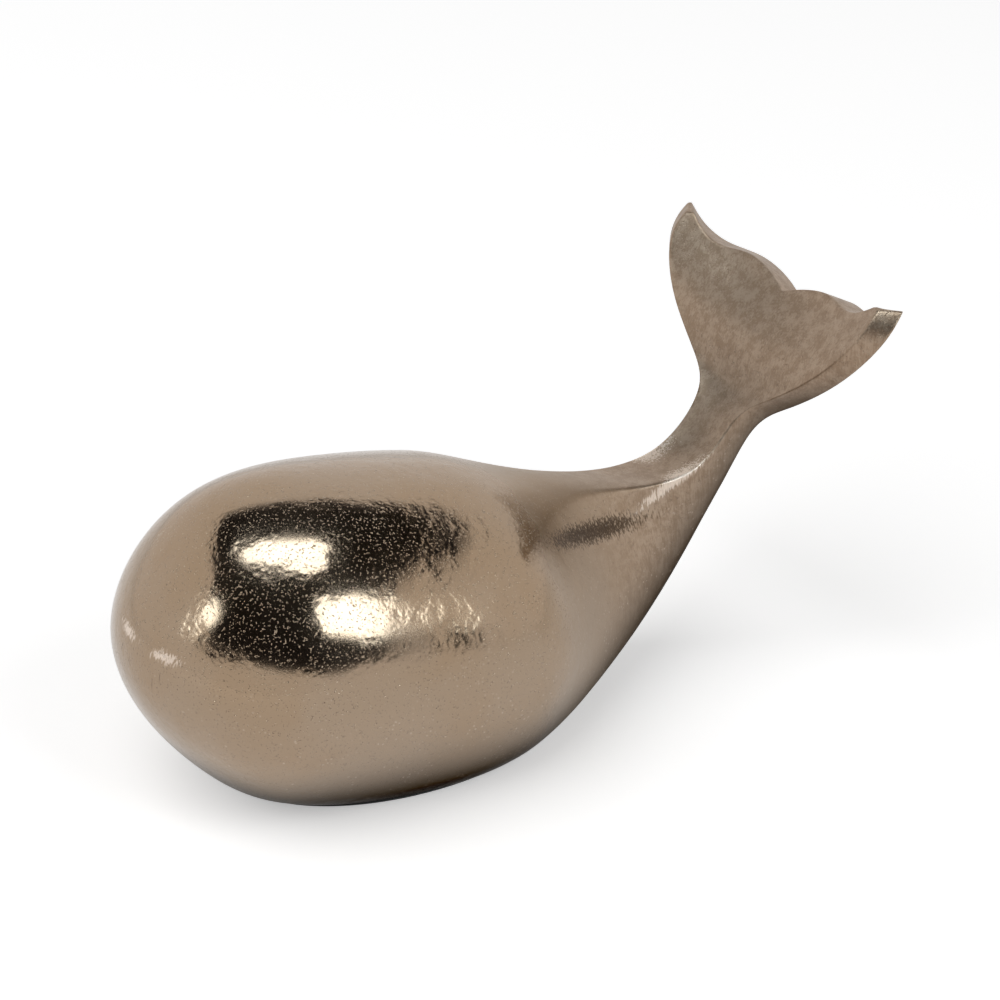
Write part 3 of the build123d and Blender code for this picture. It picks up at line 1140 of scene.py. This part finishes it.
def felt_pad(material):
    """The oval felt with soft rims, flat on the floor."""
    rings = []
    levels = [(0.0, felt_rim), felt_rim_bend, (felt_rim, 0.0)]
    levels += [(felt_thickness - z, cut) for z, cut in reversed(levels)]
    for z, cut in levels:
        outline = oval_outline(felt_length - 2 * cut, felt_width - 2 * cut, felt_cells)
        rings.append([Vector((x, y, z)) * mm for x, y in outline])
    felt = from_bmesh("whale_felt", stacked(rings))
    felt.data.shade_smooth()
    dress(felt, material)
    return felt


def dress_nodes():
    """The steel pieces keep their CAD shapes and get their finishes."""
    zinc = steel_finish("zinc_steel", zinc_grey, zinc_roughness)
    sheet = steel_finish("sheet_steel", sheet_grey, sheet_roughness)
    for name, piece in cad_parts.items():
        dress(piece, sheet if name == "base_plate" else zinc)


# Studio, with what the polished metal mirrors given as directions seen from the whale: degrees of
# turn from the tail's direction, and degrees of rise above the floor
world_light = 0.20
floor_lift = 0.40
mirrored_lift_share = 0.72
card_distance = 1300.0
dark_card_distance = 1600.0
card_centre = (0.0, 0.0, 55.0)
lamp_distance = 2500.0
floor_reach = 3.0
floor_grey = (0.90, 0.90, 0.90, 1)
floor_pale = (0.92, 0.92, 0.92, 1)
floor_cloud_size = 400.0
floor_cloud_detail = 2.0
floor_roughness = 0.9
surround_step = 3
surround_rows = 12
# Near-black of the painted-shade sheet for the unlit side of the studio
unlit_black = (0.010, 0.008, 0.009, 1)
unlit_dark = (0.02, 0.017, 0.017, 1)
unlit_patch_size = 60.0

# Lower edge of the unlit side, and corners of the lit windows
dark_edge = [
    (0, 41), (19, 40), (32, 47), (49, 54), (73, 54), (95, 46), (104, 36), (144, 37), (164, 24),
    (178, 18), (220, 17), (248, 12), (281, 1), (298, 0), (303, 26), (314, 36), (332, 41), (360, 41),
]
windows = {
    "upper_window": [(138, 51), (154, 54), (183, 67), (258, 72), (297, 64), (340, 68), (494, 75)],
    "lower_window": [
        (-90, 50), (-60, 41), (-55, 31), (-59, 19), (-63, 11), (-72, 19), (-88, 30), (-94, 41),
    ],
    "side_window": [(152, 27), (154, 31), (159, 33), (166, 31), (167, 27), (161, 25)],
}
window_strength = 6.0
window_white = (0.80, 0.92, 1.0, 1)

# Lamps: turn, rise, width in metres and strength in watts
lamps = {"key_light": (180, 54, 2.8, 46), "fill_light": (-75, 38, 1.2, 14)}


def card_point(turn, rise, distance):
    flat = cos(radians(rise))
    way = Vector((flat * cos(radians(turn)), flat * sin(radians(turn)), sin(radians(rise))))
    return (Vector(card_centre) + way * distance) * mm


def only_mirrored(card):
    """A card that the metal mirrors, but that neither lights the floor nor shades it."""
    for name in ("camera", "diffuse", "transmission", "volume_scatter", "shadow"):
        setattr(card, "visible_" + name, False)


def dark_surround():
    """The unlit side of the studio, above and behind the camera."""
    turns = np.arange(0, 361, surround_step)
    edge = np.interp(turns, *zip(*dark_edge))
    points, faces = [], []
    for k in range(surround_rows):
        for turn, low in zip(turns, edge):
            rise = low + (90 - low) * k / surround_rows
            points.append(card_point(turn, rise, dark_card_distance))
    columns = len(turns)
    for k in range(surround_rows - 1):
        for j in range(columns - 1):
            a = k * columns + j
            faces.append((a, a + 1, a + columns + 1, a + columns))
    faces.append(tuple((surround_rows - 1) * columns + j for j in range(columns - 1)))
    card = mesh_piece("dark_surround", points, faces)
    # Painted shade: a near-black sheet, seen only in the metal, for the unlit side of the studio
    finish = Finish("unlit_side_shade")
    unlit_patches = finish.noise(unlit_patch_size)
    finish.set("Base Color", finish.blend(unlit_patches, unlit_black, unlit_dark))
    finish.set("Roughness", 1.0)
    dress(card, finish.material)
    only_mirrored(card)


def window(name, corners):
    """A lit window of the studio."""
    points = [card_point(turn, rise, card_distance) for turn, rise in corners]
    card = mesh_piece(name, points, [tuple(range(len(points)))])
    finish = Finish(name)
    finish.set("Base Color", (0, 0, 0, 1))
    finish.set("Emission Color", window_white)
    finish.set("Emission Strength", window_strength)
    dress(card, finish.material)
    only_mirrored(card)


def seen_share(tree, mirrored_share=1.0):
    """1 for what the camera sees, its share for what the metal mirrors, 0 for the light itself."""
    light = add_node(tree, "ShaderNodeLightPath").outputs
    mirrored = calculate(tree, "MULTIPLY", light["Is Glossy Ray"], mirrored_share)
    return calculate(tree, "MAXIMUM", light["Is Camera Ray"], mirrored)


def white_world():
    world = bpy.data.worlds.new("studio")
    bpy.context.scene.world = world
    world.use_nodes = True
    tree = world.node_tree
    plain = tree.nodes["Background"]
    put(white, plain.inputs["Color"])
    put(world_light, plain.inputs["Strength"])
    seen = add_node(tree, "ShaderNodeBackground", {"Color": white, "Strength": 1.0})
    inputs = {0: seen_share(tree), 1: plain.outputs[0], 2: seen.outputs[0]}
    pick = add_node(tree, "ShaderNodeMixShader", inputs)
    put(pick.outputs[0], tree.nodes["World Output"].inputs["Surface"])


def studio_floor():
    signs = ((-1, -1), (1, -1), (1, 1), (-1, 1))
    corners = [(x * floor_reach, y * floor_reach, 0) for x, y in signs]
    floor = mesh_piece("studio_floor", corners, [(0, 1, 2, 3)])
    finish = Finish("floor")
    tint = finish.noise(floor_cloud_size, floor_cloud_detail)
    finish.set("Base Color", finish.blend(tint, floor_grey, floor_pale))
    finish.set("Roughness", floor_roughness)
    finish.set("Specular IOR Level", 0.0)
    finish.set("Emission Color", white)
    seen = seen_share(finish.tree, mirrored_lift_share)
    finish.set("Emission Strength", finish.times(seen, floor_lift))
    dress(floor, finish.material)


def broad_lamp(name, turn, rise, width, strength):
    """A broad lamp, which the metal doesn't mirror."""
    lamp = bpy.data.lights.new(name, "AREA")
    lamp.size = width
    lamp.energy = strength
    holder = new_object(name, lamp)
    holder.location = card_point(turn, rise, lamp_distance)
    facing = Vector(card_centre) * mm - holder.location
    holder.rotation_euler = facing.to_track_quat("-Z", "Y").to_euler()
    holder.visible_glossy = False


# The photograph's camera: degrees of turn from the whale's left side towards its tail, of rise
# and of roll; then metres, with the lens and its sensor in millimetres
camera_turn = -36.3636
camera_rise = 27.2107
camera_roll = 0.7907
camera_distance = 1.04087
camera_lens = 140.23
camera_sensor = 36.0
camera_near = 0.02
camera_target = (0.0319444, 0, 0.0614644)


def photo_camera():
    turn, rise, roll = radians(camera_turn), radians(camera_rise), radians(camera_roll)
    back = Vector((sin(turn) * cos(rise), -cos(turn) * cos(rise), sin(rise)))
    level = Vector((cos(turn), sin(turn), 0))
    upright = back.cross(level)
    right = level * cos(roll) + upright * sin(roll)
    up = upright * cos(roll) - level * sin(roll)
    lens = bpy.data.cameras.new("photo_camera")
    lens.sensor_width = camera_sensor
    lens.lens = camera_lens
    lens.clip_start = camera_near
    camera = new_object("photo_camera", lens)
    matrix = Matrix((right, up, back)).transposed().to_4x4()
    matrix.translation = Vector(camera_target) + back * camera_distance
    camera.matrix_world = matrix
    bpy.context.scene.camera = camera


cast_metal = cast_metal_finish()
body, tail = castings(cast_metal)
felt = felt_pad(felt_finish())
for piece, node in ((body, "body_casting"), (tail, "tail_casting"), (felt, "felt_pad")):
    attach(piece, "root")
    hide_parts(node)
dress_nodes()

white_world()
studio_floor()
dark_surround()
for name, corners in windows.items():
    window(name, corners)
for name, values in lamps.items():
    broad_lamp(name, *values)
photo_camera()
bpy.context.scene.view_settings.view_transform = "Standard"
